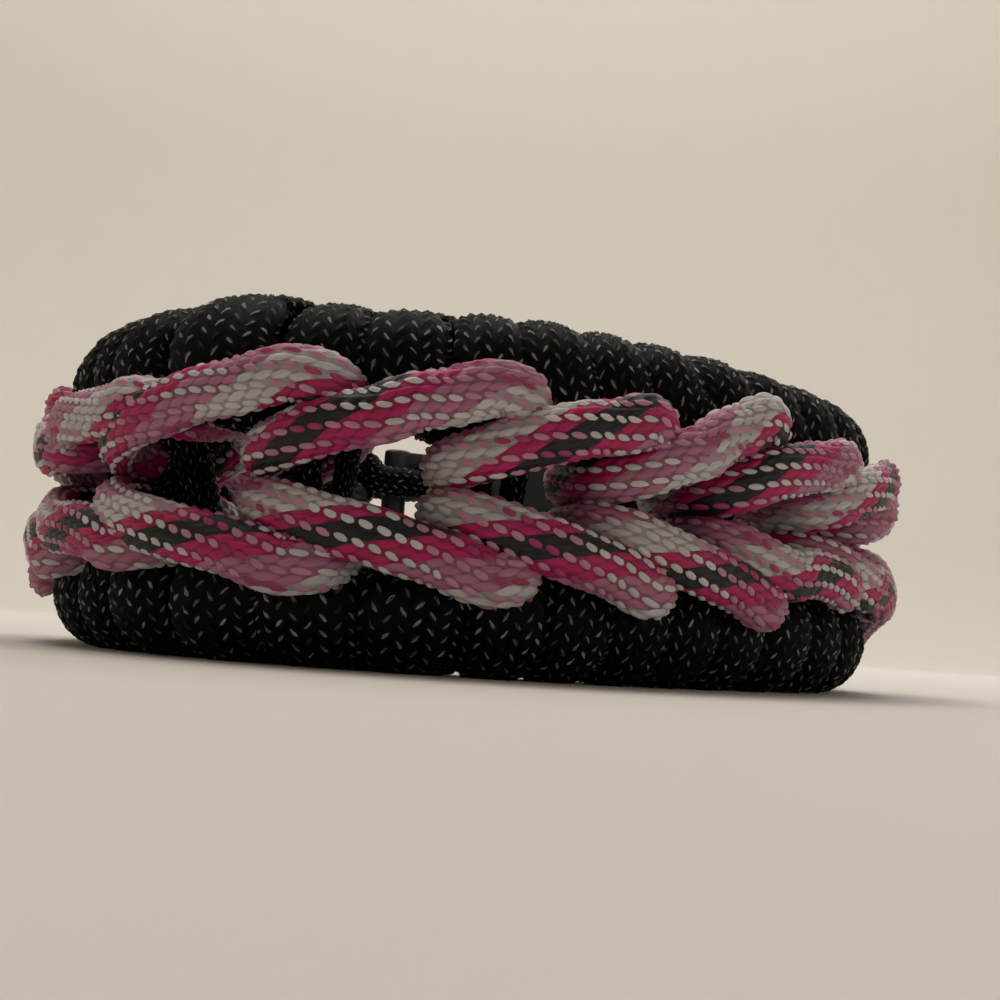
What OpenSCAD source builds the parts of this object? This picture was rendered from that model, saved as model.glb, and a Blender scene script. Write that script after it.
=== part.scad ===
// Paracord bracelet: two rolls of black cord over core loops, joined by
// crossings, with two variegated link strands stitched over them in a row of
// V-shaped links, and a curved side-release buckle. It lies on its side.

/* [Loop] */
// Mean radius of the line that the rolls follow
loop_r = 31; // [29:0.5:36]
// Share by which the loop is drawn out to an oval
loop_oval = 0.03; // [0:0.01:0.05]
// Share by which the loop has three soft lobes
loop_lobes = 0.04; // [0:0.01:0.05]

/* [Weave] */
// Number of V-shaped links
links = 12; // [10:1:14]
// Thickness of the pair of core cords in a roll
core_w = 3.9; // [3:0.1:4.4]
// Radial thickness of the black cord in the wrap
wrap_t = 2.3; // [1.8:0.1:2.6]
// Thickness of a variegated link strand
strand_d = 3.2; // [2.8:0.1:3.5]
// Running clearance between cords
clear = 0.25; // [0.15:0.05:0.3]
// Distance from the buckle to the middle of the first and last turns
end_gap = 3.8; // [3.6:0.1:5]

// Thickness of a core cord where it goes round a cord bar
core_end_d = 2.7; // [2:0.1:2.8]

/* [Buckle] */
// Length of the closed buckle along the loop
buckle_len = 39; // [37:1:44]
// Width of the buckle across the bracelet
buckle_w = 21; // [20:0.5:24]
// Thickness of the buckle
buckle_t = 6.6; // [6:0.2:8]
// Radius to which the buckle is bent
buckle_bend = 38; // [34:1:44]
// Thickness of the round cord bars
bar_d = 2.8; // [2.4:0.1:3]
// Thickness of the rails, side walls and web of the buckle
rail_w = 2; // [1.6:0.1:2.4]
// Clearance between the plug and the socket
fit_gap = 0.3; // [0.2:0.05:0.4]

/* [Hidden] */
BLACK = "#1b1c20";
PINK = "#b9557f";
CORE = "#26272b";
PLASTIC = "#2f3634";

// Directions in which the oval and the lobes point, and the buckle's middle,
// as angles round the loop from the front
oval_at = -49;
lobes_at = -25;
buckle_at = 161.5;

// Sides of a swept cord, and samples of the loop's length
cord_sides = 6;
strand_sides = 7;
loop_steps = 180;

// Roll: the wrap's play round the core, its middle radius, its outer radius and
// the height of its axis, which leaves room for both link strands side by side
wrap_play = 0.15;
wrap_r = core_w / 2 + clear + wrap_play + wrap_t / 2;
roll_r = wrap_r + wrap_t / 2;
rise_z = (strand_d + clear) / 2;
roll_z = rise_z + strand_d / 2 + clear + roll_r;
half_w = roll_z + roll_r;

// The loop's line: radius, its slope, and the point at an angle from the front
function loop_rad(a) = loop_r * (1 + loop_oval * cos(2 * (a - oval_at))
    + loop_lobes * cos(3 * (a - lobes_at)));
function loop_pt(a) = loop_rad(a) * [sin(a), -cos(a)];
step_a = 360 / loop_steps;
step_len = [for (i = [0:loop_steps - 1]) norm(loop_pt((i + 1) * step_a) - loop_pt(i * step_a))];
run_len = [for (i = 0, sum = 0; i <= loop_steps; sum = sum + (i < loop_steps ? step_len[i] : 0),
    i = i + 1) sum];
loop_len = run_len[loop_steps];
angle_of = [for (i = [0:loop_steps]) [run_len[i], i * step_a]];
length_of = [for (i = [0:loop_steps]) [i * step_a, run_len[i]]];
function wrap_len(s) = s - loop_len * floor(s / loop_len);
function unit(v) = v / norm(v);
function mix(a, b, t) = a + (b - a) * t;
function ease(t) = let (c = min(1, max(0, t))) c * c * (3 - 2 * c);

// Outward direction of the loop's line at a length
nudge = 0.4;
function loop_at(s) = loop_pt(lookup(wrap_len(s), angle_of));
function loop_out(s) = let (t = unit(loop_at(s + nudge) - loop_at(s - nudge))) [t.y, -t.x];

// The buckle is bent to a true arc, which the line follows where the buckle is
buckle_s = lookup(buckle_at, length_of);
buckle_mid = loop_at(buckle_s);
buckle_out = loop_out(buckle_s);
buckle_hub = buckle_mid - buckle_bend * buckle_out;
buckle_turn = atan2(buckle_out.y, buckle_out.x);
function arc_dir(u) = let (a = buckle_turn + deg(u)) [cos(a), sin(a)];
function from_buckle(s) = wrap_len(s - buckle_s + loop_len / 2) - loop_len / 2;
blend_len = 8;
function arc_share(s) = ease((buckle_len / 2 + blend_len - abs(from_buckle(s))) / blend_len);

// A point at length s along the line, n outward of it and z above its plane
function line_at(s) = mix(loop_at(s), buckle_hub + buckle_bend * arc_dir(from_buckle(s)), arc_share(s));
function out_at(s) = unit(mix(loop_out(s), arc_dir(from_buckle(s)), arc_share(s)));
function spot(p) = let (c = line_at(p[0]) + p[1] * out_at(p[0])) [c.x, c.y, p[2] + half_w];
function deg(u) = u / buckle_bend * 180 / PI;

// Weave: the crossings lie a pitch apart between the ends of the buckle. The
// turns are narrow beside a crossing and wide along the bracelet's edge, where
// each lies a little later than the crossing by a share of the pitch
spans = links + 2;
first_s = buckle_s + buckle_len / 2 + end_gap - loop_len;
pitch = (loop_len - buckle_len - 2 * end_gap) / spans;
inner_w = (pitch - strand_d - 3 * clear) / 2;
outer_w = pitch / 2 - clear;
lane_gap = inner_w / 2 + clear + strand_d / 2;
pass_at = inner_w + strand_d + 2 * clear;
bar_lag = 0.03;
bar_one = bar_lag * pitch;
bar_two = bar_one + pitch / 2;

// One half turn from the gap side to the edge, and one from the edge back:
// angle, share of the way along, share of the full width
FRONT = [[0, 0, 0], [45, 0, 0.05], [90, 0.2, 0.25], [135, 0.65, 0.7]];
BACK = [[180, 0, 0.95], [225, 0.3, 0.65], [270, 0.68, 0.2], [315, 0.96, 0]];

// Centre, radial direction and width of the wrap at a row of a half turn
function turn_row(row, a, b) = [row[0] - 90, mix(a, b, row[1]), mix(inner_w, outer_w, row[2])];
turn_rows = concat(
    [for (i = [1:3]) turn_row(FRONT[i], 0, bar_one)],
    [for (r = BACK) turn_row(r, bar_one, pass_at)],
    [for (r = FRONT) turn_row(r, pass_at, bar_two)],
    [for (r = BACK) turn_row(r, bar_two, pitch)]
);

// Ring of a cord round centre c, with half axes a along e and b along f
function ring(c, e, f, a, b, sides) = [for (k = [0:sides - 1])
    let (t = (k + 0.5) * 360 / sides) spot(c + a * cos(t) * e + b * sin(t) * f)];
ALONG = [1, 0, 0];

// Rings of a black strand on one roll, side 1 above and -1 below, facing flip
function wrap_rings(i, side, flip) = [for (r = turn_rows)
    let (e = [0, cos(r[0]), side * sin(r[0])], s = first_s + i * pitch + r[1])
    ring([s, 0, side * roll_z] + wrap_r * e, flip * e, ALONG, wrap_t / 2, r[2] / 2, cord_sides)];

// Rings of the crossing to the other roll: two strands pass side by side
cross_z = 2.2;
cross_t = 2.5;
function cross_rings(i, side, flip, lane) = let (
    edge = wrap_r * sin(45),
    e = unit([0, roll_z - edge, side * edge]),
    off = lane * (inner_w + clear) / 4
) [for (h = [cross_z, -cross_z]) ring(
    [first_s + i * pitch + off, -h / (roll_z - edge) * edge, side * h], -flip * e, ALONG,
    cross_t / 2, (inner_w - clear) / 4, cord_sides)];

// A whole black strand, which changes rolls at each crossing
function strand_rings(first, lane) = [for (i = [0:spans - 1])
    let (side = i % 2 == 0 ? first : -first, flip = i % 2 == 0 ? 1 : -1)
    each concat(wrap_rings(i, side, flip), i < spans - 1 ? cross_rings(i + 1, side, flip, lane) : [])];

// Link strand over one link: it rises beside the crossing, runs out over the
// roll to its tip, dives past the next crossing and comes back behind it.
// Lengths along as shares of the pitch and of the lane beside a crossing, then
// the distance outward as a share of the ride over the roll, then the height
// as a share of the way from the rise to the roll's axis
ride_n = roll_r + strand_d / 2 + clear;
LINK = [
    [0, -1, 0, 0],
    [0, -0.92, 0.54, 0],
    [0, -0.46, 0.78, 0.05],
    [0, 0.23, 0.95, 0.15],
    [0, 0.88, 1.06, 0.23],
    [0.52, 0, 1.03, 0.36],
    [0.78, 0, 1, 0.55],
    [0.94, 0, 1, 0.75],
    [1.08, 0, 1, 0.86],
    [1, 0.71, 0.92, 0.77],
    [1, 0.97, 0.68, 0.6],
    [1, 1, 0.16, 0.43],
    [1, 0.92, -0.46, 0.33],
    [1, -0.02, -0.74, 0.12],
    [1, -0.75, -0.58, 0.02]
];
function link_point(k, side, row) = [
    first_s + (k + row[0]) * pitch + row[1] * lane_gap,
    row[2] * ride_n,
    side * mix(rise_z, roll_z, row[3])
];
function link_path(side) = [for (k = [0:links]) for (j = [k > 0 ? 0 : 13:k < links ? 14 : 13])
    link_point(k, side, LINK[j])];

// Rings square to a path, with their first axis kept upright; r is one radius,
// or one for each point. A trace of the length keeps a sharp turn's normal
trace = 0.001 * ALONG;
function path_rings(path, r, sides, closed = false) = let (n = len(path)) [for (i = [0:n - 1]) let (
    before = closed ? path[(i + n - 1) % n] : path[max(0, i - 1)],
    after = closed ? path[(i + 1) % n] : path[min(n - 1, i + 1)],
    t = unit(unit(after - path[i] + trace) + unit(path[i] - before + trace)),
    u = unit([0, 0, 1] - t.z * t),
    h = is_list(r) ? r[i] : r
) ring(path[i], u, cross(t, u), h, h, sides)];

// Core loop: two runs side by side along the roll, which open out beyond it and
// go round both cord bars with a little play. The rails beside them stand in a
// little from the bars' ends and faces
run_gap = 0.1;
core_play = 0.2;
core_r = (core_w - run_gap) / 4;
end_r = core_end_d / 2;
bar_u = buckle_len / 2 - bar_d / 2;
rail_in = 0.25;
core_z = buckle_w / 2 - rail_in - rail_w - end_r - core_play;
round_n = bar_d / 2 + end_r + core_play;
core_steps = 14;

// Half of a loop's end, from the roll to the far side of the bar: distance in
// towards the buckle from the bar, distance outward and share of the full
// thickness, the first two as shares of the turn's radius
EYE = [[-1.3, 0.36, 0.05], [-0.8, 0.8, 0.8], [-0.3, 0.97, 1], [0.3, 0.97, 1], [0.8, 0.6, 1], [1, 0, 1]];
function eye(way, side, s0, flip) = [for (e = EYE) [
    s0 + way * (bar_u - e[0] * round_n), flip * e[1] * round_n,
    side * mix(roll_z, core_z, e[2]), mix(core_r, end_r, e[2])
]];
function reversed(v) = [for (i = [len(v) - 1:-1:0]) v[i]];
function core_run(side, flip) = [for (i = [0:core_steps])
    [mix(first_s, first_s + spans * pitch, i / core_steps), flip * (core_r + run_gap / 2),
        side * roll_z, core_r]];
function tail(v) = [for (i = [1:len(v) - 1]) v[i]];
function core_path(side) = concat(
    core_run(side, 1), eye(-1, side, buckle_s, 1), tail(reversed(eye(-1, side, buckle_s, -1))),
    reversed(core_run(side, -1)),
    eye(1, side, buckle_s - loop_len, -1), tail(reversed(eye(1, side, buckle_s - loop_len, 1)))
);
function point_of(v) = [for (p = v) [p[0], p[1], p[2]]];
function radius_of(v) = [for (p = v) p[3]];

// Opening behind a cord bar, and where the buckle's body starts, which grips
// the rails' ends
slot_len = round_n + end_r + 2 * core_play;
web_u = bar_u - slot_len + core_play;

// The origin is at the middle of the bottom of the whole bracelet's box
rim_steps = 60;
outer_rim = concat(
    [for (r = concat(strand_rings(1, 1), strand_rings(-1, -1))) each r],
    [for (side = [-1, 1]) for (r = path_rings(link_path(side), strand_d / 2, strand_sides)) each r],
    [for (side = [-1, 1]) for (r = path_rings(point_of(core_path(side)), radius_of(core_path(side)),
        cord_sides, true)) each r],
    [for (i = [-rim_steps:rim_steps]) spot([buckle_s + web_u * i / rim_steps, buckle_t / 2, 0])]
);
function middle(v) = (min(v) + max(v)) / 2;
home = -[middle([for (p = outer_rim) p.x]), middle([for (p = outer_rim) p.y]), min([for (p = outer_rim) p.z])];

// Buckle: its rounded edges, where the halves meet, the waist that bares the
// catches, the thickness of its two plates and of the cavity between them
edge_r = 1.3;
split_u = -3;
waist_a = 3.8;
waist_b = 9.8;
waist_dip = 2.4;
plate_t = 1.3;
cavity_t = buckle_t - 2 * plate_t;

// Plug: where the arms are rooted in its body, how far the catches stand in
// from the buckle's side, their length, the thickness of an arm, its distance
// in from the side wall at its root and beside the catch, and the tongue's width
root_u = split_u - fit_gap - 1;
catch_in = 1.1;
catch_z = buckle_w / 2 - catch_in;
catch_len = 2.9;
arm_w = 2;
root_in = 1.4;
neck_in = 0.7;
tongue_w = 3;
arc_fn = 180;
round_fn = 48;

// Solid through a list of rings, closed in itself or capped at both ends. The
// hand says which way round the rings run
module sweep(rings, closed = false, hand = 1) {
    n = len(rings);
    m = len(rings[0]);
    last = closed ? n - 1 : n - 2;
    walls = [for (i = [0:last]) for (k = [0:m - 1])
        let (a = i * m, b = ((i + 1) % n) * m, q = (k + 1) % m)
        each [[a + k, a + q, b + q], [a + k, b + q, b + k]]];
    caps = closed ? [] : [[for (k = [m - 1:-1:0]) k], [for (k = [0:m - 1]) (n - 1) * m + k]];
    faces = concat(walls, caps);
    turned = [for (f = faces) hand > 0 ? f : [for (k = [len(f) - 1:-1:0]) f[k]]];
    translate(home) polyhedron([for (r = rings) each r], turned, convexity = 10);
}

module core_loop(side) {
    path = core_path(side);
    color(CORE) sweep(path_rings(point_of(path), radius_of(path), cord_sides, true), true);
}

module core_loop_upper() {
    core_loop(1);
}

module core_loop_lower() {
    core_loop(-1);
}

module wrap_strand_a() {
    color(BLACK) sweep(strand_rings(1, 1), hand = -1);
}

module wrap_strand_b() {
    color(BLACK) sweep(strand_rings(-1, -1));
}

module link_strand_upper() {
    color(PINK) sweep(path_rings(link_path(1), strand_d / 2, strand_sides));
}

module link_strand_lower() {
    color(PINK) sweep(path_rings(link_path(-1), strand_d / 2, strand_sides));
}

// Frame of the bent buckle: the hub at the origin, outward along x, length
// along y at its middle
module at_buckle() {
    translate(home + [buckle_hub.x, buckle_hub.y, half_w]) rotate([0, 0, buckle_turn]) children();
}

// Sweeps a profile, drawn outward and up from the line, from length a to b
module bend(a, b) {
    rotate([0, 0, deg(a)]) rotate_extrude(angle = deg(b - a), $fn = arc_fn)
        translate([buckle_bend, 0]) children();
}

// Cuts or fills straight through the thickness, drawn as length and height
module through(t) {
    translate([buckle_bend, 0, 0]) rotate([90, 0, 90]) linear_extrude(t, center = true) children();
}

// Rounded rectangle round the line
module rounded(w, h, r) {
    square([w - 2 * r, h], center = true);
    square([w, h - 2 * r], center = true);
    for (x = [-1, 1]) for (y = [-1, 1])
        translate([x * (w / 2 - r), y * (h / 2 - r)]) circle(r, $fn = round_fn);
}

// Cord bar with its two rails, at the end that side faces
module bar_end(side) {
    from = min(side * (bar_u - slot_len), side * bar_u);
    to = max(side * (bar_u - slot_len), side * bar_u);
    for (z = [-1, 1]) bend(from, to) translate([0, z * (buckle_w / 2 - rail_in - rail_w / 2)])
        square([bar_d - 2 * rail_in, rail_w], center = true);
    rotate([0, 0, deg(side * bar_u)]) translate([buckle_bend, 0, 0])
        cylinder(d = bar_d, h = buckle_w, center = true, $fn = round_fn);
}

// Waist over the catches, cut in from both sides with sloping ends
module waist_outline() {
    over = 1;
    for (m = [0, 1]) mirror([0, m]) polygon([
        [waist_a - waist_dip - over, buckle_w / 2 + over], [waist_a, buckle_w / 2 - waist_dip],
        [waist_b, buckle_w / 2 - waist_dip], [waist_b + waist_dip + over, buckle_w / 2 + over]
    ]);
}

module buckle_socket() {
    window_t = cavity_t - 0.2;
    color(PLASTIC) at_buckle() {
        difference() {
            bend(split_u, web_u) rounded(buckle_t, buckle_w, edge_r);
            through(2 * buckle_bend) waist_outline();
            bend(split_u - 1, web_u - rail_w)
                square([cavity_t, buckle_w - 2 * rail_w], center = true);
            bend(waist_a, waist_b) square([window_t, buckle_w + 1], center = true);
        }
        bar_end(1);
    }
}

// One sprung prong with its catch, drawn as length and height
module prong_outline() {
    arm_z = buckle_w / 2 - rail_w - fit_gap;
    polygon([
        [root_u, arm_z - root_in - arm_w], [root_u, arm_z - root_in],
        [waist_a + fit_gap, arm_z - neck_in], [waist_a + fit_gap, catch_z],
        [waist_a + fit_gap + catch_len, catch_z], [waist_b - fit_gap, arm_z - neck_in],
        [waist_b - fit_gap, arm_z - neck_in - arm_w]
    ]);
}

module buckle_plug() {
    color(PLASTIC) at_buckle() {
        bend(-web_u, split_u - fit_gap) rounded(buckle_t, buckle_w, edge_r);
        intersection() {
            bend(root_u, waist_b) square([cavity_t - 2 * fit_gap, buckle_w], center = true);
            through(2 * buckle_bend) {
                for (m = [0, 1]) mirror([0, m]) prong_outline();
                translate([root_u, -tongue_w / 2]) square([waist_a - root_u, tongue_w]);
            }
        }
        bar_end(-1);
    }
}

core_loop_upper();
core_loop_lower();
wrap_strand_a();
wrap_strand_b();
link_strand_upper();
link_strand_lower();
buckle_socket();
buckle_plug();
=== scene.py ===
"""Looks of a paracord bracelet: braided sheaths, melted ends, a moulded buckle and a plain studio.

Lengths in the classes are millimetres, and become metres where a mesh is made.
"""
import logging
import math
from dataclasses import dataclass, field, replace
from enum import Enum
from typing import Any

import bmesh
import bpy
import numpy as np
from mathutils import Matrix, Vector


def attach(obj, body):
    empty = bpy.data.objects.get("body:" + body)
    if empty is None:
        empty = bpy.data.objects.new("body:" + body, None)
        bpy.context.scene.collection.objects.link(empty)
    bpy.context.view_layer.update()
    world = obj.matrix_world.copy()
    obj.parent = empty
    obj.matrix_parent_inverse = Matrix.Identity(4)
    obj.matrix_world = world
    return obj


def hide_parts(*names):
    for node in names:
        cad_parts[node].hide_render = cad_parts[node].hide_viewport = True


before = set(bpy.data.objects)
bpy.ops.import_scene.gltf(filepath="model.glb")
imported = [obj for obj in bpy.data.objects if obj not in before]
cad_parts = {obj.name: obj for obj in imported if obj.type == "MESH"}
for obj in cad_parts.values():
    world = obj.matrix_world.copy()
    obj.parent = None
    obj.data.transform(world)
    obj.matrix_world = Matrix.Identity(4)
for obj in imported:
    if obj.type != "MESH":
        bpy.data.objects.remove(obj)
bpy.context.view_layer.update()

BODY = "root"
MM = 0.001
# yarns in a set before its dyes repeat, and where a yarn's middle lies in its stitch
YARNS = 16
YARN_AT = 0.25
log = logging.getLogger("bracelet")


class Side(Enum):
    """The two edge rolls, by the sign of their height."""

    UPPER = 1
    LOWER = -1


def linear(code: str) -> tuple[float, float, float, float]:
    """Turns an sRGB hex colour to linear red, green, blue and alpha.

    Args:
        code: six hex digits after a hash.

    Returns:
        The linear colour, opaque.
    """
    parts = [int(code[i:i + 2], 16) / 255 for i in (1, 3, 5)]
    r, g, b = (c / 12.92 if c <= 0.04045 else ((c + 0.055) / 1.055) ** 2.4 for c in parts)
    return r, g, b, 1.0


def node(tree: bpy.types.NodeTree, kind: str, inputs: dict | None = None, out: Any = 0, **settings: Any) -> Any:
    """Adds a shader node with its settings and links.

    Args:
        tree: the tree that it joins.
        kind: the node's type name, after "ShaderNode".
        inputs: input name or number to a value, or to the socket that feeds it.
        out: name or number of the output to hand back, or None for the node.
        settings: attributes of the node.

    Returns:
        The chosen output socket, or the node itself.
    """
    made = tree.nodes.new(f"ShaderNode{kind}")
    for name, value in settings.items():
        setattr(made, name, value)
    for name, value in (inputs or {}).items():
        if isinstance(value, bpy.types.NodeSocket):
            tree.links.new(value, made.inputs[name])
        else:
            made.inputs[name].default_value = value
    return made if out is None else made.outputs[out]


def bare_material(name: str) -> tuple[bpy.types.Material, bpy.types.NodeTree]:
    """Makes a material with an empty tree.

    Args:
        name: the material's name.

    Returns:
        The material and its tree.
    """
    mat = bpy.data.materials.new(name)
    mat.use_nodes = True
    mat.node_tree.nodes.clear()
    return mat, mat.node_tree


def stand(name: str, data: Any) -> bpy.types.Object:
    """Puts an object with its mesh, camera or lamp into the scene.

    Args:
        name: the object's name.
        data: the mesh, camera or lamp.

    Returns:
        The object.
    """
    obj = bpy.data.objects.new(name, data)
    bpy.context.scene.collection.objects.link(obj)
    return obj


def steps(ramp: bpy.types.Node, stops: list[tuple[float, str]]) -> None:
    """Fills a colour ramp with flat steps.

    Args:
        ramp: the ramp node.
        stops: place from 0 to 1 and hex colour of each step.
    """
    band = ramp.color_ramp
    band.interpolation = "CONSTANT"
    band.elements[0].color = linear(stops[0][1])
    band.elements.remove(band.elements[-1])
    for place, code in stops[1:]:
        band.elements.new(place).color = linear(code)


@dataclass(frozen=True)
class LoopLine:
    """The line round the wrist that both rolls follow, with the buckle's true arc in it."""

    radius: float = 31.0
    # shares of the radius in the oval and in its three soft lobes, and their bearings in degrees
    oval: float = 0.03
    lobes: float = 0.04
    oval_at: float = -49.0
    lobes_at: float = -25.0
    # the buckle's bearing in degrees, its length, its bend's radius, and the run in which the loop takes it on
    buckle_at: float = 161.5
    buckle_len: float = 39.0
    buckle_bend: float = 38.0
    blend_len: float = 8.0
    # step for the loop's direction, height of the band's middle, and the loop's centre in the row frame
    nudge: float = 0.4
    half_w: float = 12.875
    home: tuple[float, float, float] = (-1.1157, 2.7743, -0.1541)
    samples: int = 3600
    table: dict = field(default_factory=dict, compare=False)

    def __post_init__(self) -> None:
        """Works out the run of length round the loop and the buckle's arc."""
        angle = np.linspace(0, 2 * np.pi, self.samples + 1)
        rad = self.radius * (1 + self.oval * np.cos(2 * (angle - math.radians(self.oval_at)))
                             + self.lobes * np.cos(3 * (angle - math.radians(self.lobes_at))))
        pts = np.stack([rad * np.sin(angle), -rad * np.cos(angle)], 1)
        run = np.concatenate([[0], np.cumsum(np.linalg.norm(np.diff(pts, axis=0), axis=1))])
        self.table.update(run=run, pts=pts, length=run[-1])
        self.table["buckle_s"] = float(np.interp(math.radians(self.buckle_at), angle, run))
        mid = self.on_loop(np.array([self.buckle_s]))[0]
        out = self.off_loop(np.array([self.buckle_s]))[0]
        self.table["hub"] = mid - self.buckle_bend * out
        self.table["turn"] = math.atan2(out[1], out[0])

    @property
    def length(self) -> float:
        """Length of the whole loop."""
        return self.table["length"]

    @property
    def buckle_s(self) -> float:
        """Length along the loop at the buckle's middle."""
        return self.table["buckle_s"]

    def on_loop(self, s: np.ndarray) -> np.ndarray:
        """Points of the free loop at lengths s."""
        w = np.mod(s, self.length)
        return np.stack([np.interp(w, self.table["run"], self.table["pts"][:, i]) for i in (0, 1)], -1)

    def off_loop(self, s: np.ndarray) -> np.ndarray:
        """Finds the outward directions of the free loop.

        Args:
            s: lengths along the loop.

        Returns:
            A unit direction for each length.
        """
        t = self.on_loop(s + self.nudge) - self.on_loop(s - self.nudge)
        t /= np.linalg.norm(t, axis=-1, keepdims=True)
        return np.stack([t[..., 1], -t[..., 0]], -1)

    def place(self, p: np.ndarray) -> np.ndarray:
        """Maps unrolled points to the row frame.

        Args:
            p: points as length along the loop, distance outward and height from the mid plane.

        Returns:
            The same points in millimetres in the row frame.
        """
        s = p[..., 0]
        u = np.mod(s - self.buckle_s + self.length / 2, self.length) - self.length / 2
        a = self.table["turn"] + u / self.buckle_bend
        arc = np.stack([np.cos(a), np.sin(a)], -1)
        w = np.clip((self.buckle_len / 2 + self.blend_len - np.abs(u)) / self.blend_len, 0, 1)
        w = (w * w * (3 - 2 * w))[..., None]
        mid = self.on_loop(s) * (1 - w) + (self.table["hub"] + self.buckle_bend * arc) * w
        out = self.off_loop(s) * (1 - w) + arc * w
        out /= np.linalg.norm(out, axis=-1, keepdims=True)
        flat = mid + p[..., 1:2] * out
        return np.concatenate([flat, p[..., 2:3] + self.half_w], -1) + np.array(self.home)


@dataclass(frozen=True)
class Weave:
    """Sizes of the weave, the same as in the solids, with the cords at their full thickness."""

    line: LoopLine
    links: int = 12
    # gap beside the buckle, room that a link strand takes beside a crossing, and clearance between cords
    end_gap: float = 3.8
    strand_d: float = 3.2
    clear: float = 0.25
    # a turn's distance from the middle of its roll, and the roll's height from the band's middle
    wrap_r: float = 3.5
    roll_z: float = 8.225
    # height of a link's foot, and distance outward of a link's front
    rise_z: float = 1.725
    ride_n: float = 6.5
    # how the whole weave was pulled along: place in pitches, shift in millimetres
    pull: tuple[tuple[int, float], ...] = (
        (1, 0.0), (3, 0.3), (4, -0.3), (5, -0.4), (6, -1.2), (7, 0.6), (8, 2.2), (9, 0.9), (10, -0.6),
        (11, 0.1), (13, 0.0),
    )
    # how the turns on the upper roll were pushed: place in pitches, shift along and out in millimetres
    push: tuple[tuple[float, float, float], ...] = (
        (5.3, 0.0, 0.0), (5.8, -2.0, 0.0), (6.3, -2.0, 0.3), (6.55, -0.8, 0.6), (6.8, 0.4, 0.1), (7.3, -1.1, -0.4),
        (7.8, -1.6, -0.2), (8.3, -2.6, 0.0), (8.8, -2.2, -0.1), (9.3, -2.7, -0.3), (9.8, -2.0, -0.3),
        (10.3, -1.7, -0.5), (10.8, -1.6, -0.6), (11.8, -0.5, -0.5), (12.4, 0.0, 0.0),
    )

    @property
    def spans(self) -> int:
        """Crossings along the whole weave."""
        return self.links + 2

    @property
    def first_s(self) -> float:
        """Length along the loop at the first turn."""
        return self.line.buckle_s + self.line.buckle_len / 2 + self.end_gap - self.line.length

    @property
    def pitch(self) -> float:
        """Distance from one crossing to the next."""
        return (self.line.length - self.line.buckle_len - 2 * self.end_gap) / self.spans

    @property
    def inner_w(self) -> float:
        """Width of a black turn beside a crossing, in the solids."""
        return (self.pitch - self.strand_d - 3 * self.clear) / 2

    @property
    def outer_w(self) -> float:
        """Width of a black turn along the bracelet's edge, in the solids."""
        return self.pitch / 2 - self.clear

    @property
    def lane(self) -> float:
        """Distance from a crossing to the link strand beside it."""
        return self.inner_w / 2 + self.clear + self.strand_d / 2

    def stretch(self, s: float, side: int) -> float:
        """Finds how far the uneven pull draws out the turns of one roll.

        Args:
            s: length along the loop.
            side: the roll, 1 above and -1 below.

        Returns:
            The turn's length over what it would be in an even weave.
        """
        ends = np.array([s - self.pitch / 4, s + self.pitch / 4])
        a, b = self.pulled(ends) + self.pushed(ends, side)[0]
        return float(b - a) / (self.pitch / 2)

    def pushed(self, s: np.ndarray, side: int) -> np.ndarray:
        """How far one roll's turns were pushed along and outward at lengths s."""
        at = np.array([self.first_s + row[0] * self.pitch for row in self.push])
        return np.array([np.interp(s, at, [row[i] for row in self.push]) for i in (1, 2)]) * (side > 0)

    def pulled(self, s: np.ndarray) -> np.ndarray:
        """Shifts lengths by the uneven pull of a hand-made weave."""
        at = np.array([self.first_s + k * self.pitch for k, _ in self.pull])
        return s + np.interp(s, at, [v for _, v in self.pull], left=0, right=0)


def smooth_rows(rows: np.ndarray, step: float) -> np.ndarray:
    """Runs a smooth curve through rows of values, spaced by the first three.

    Args:
        rows: one row for each point; the first three columns are its place.
        step: spacing of the dense rows.

    Returns:
        The dense rows.
    """
    gap = np.linalg.norm(np.diff(rows[:, :3], axis=0), axis=1)
    knot = np.concatenate([[0], np.cumsum(gap)])
    slope = np.diff(rows, axis=0) / gap[:, None]
    tangent = np.empty_like(rows)
    tangent[0], tangent[-1] = slope[0], slope[-1]
    share = (gap[1:] / (gap[1:] + gap[:-1]))[:, None]
    tangent[1:-1] = slope[:-1] * share + slope[1:] * (1 - share)
    t = np.linspace(0, knot[-1], int(knot[-1] / step) + 1)
    i = np.clip(np.searchsorted(knot, t, side="right") - 1, 0, len(gap) - 1)
    h = gap[i][:, None]
    x = (t - knot[i])[:, None] / h
    return ((2 * x ** 3 - 3 * x ** 2 + 1) * rows[i] + (x ** 3 - 2 * x ** 2 + x) * h * tangent[i]
            + (3 * x ** 2 - 2 * x ** 3) * rows[i + 1] + (x ** 3 - x ** 2) * h * tangent[i + 1])


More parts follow.
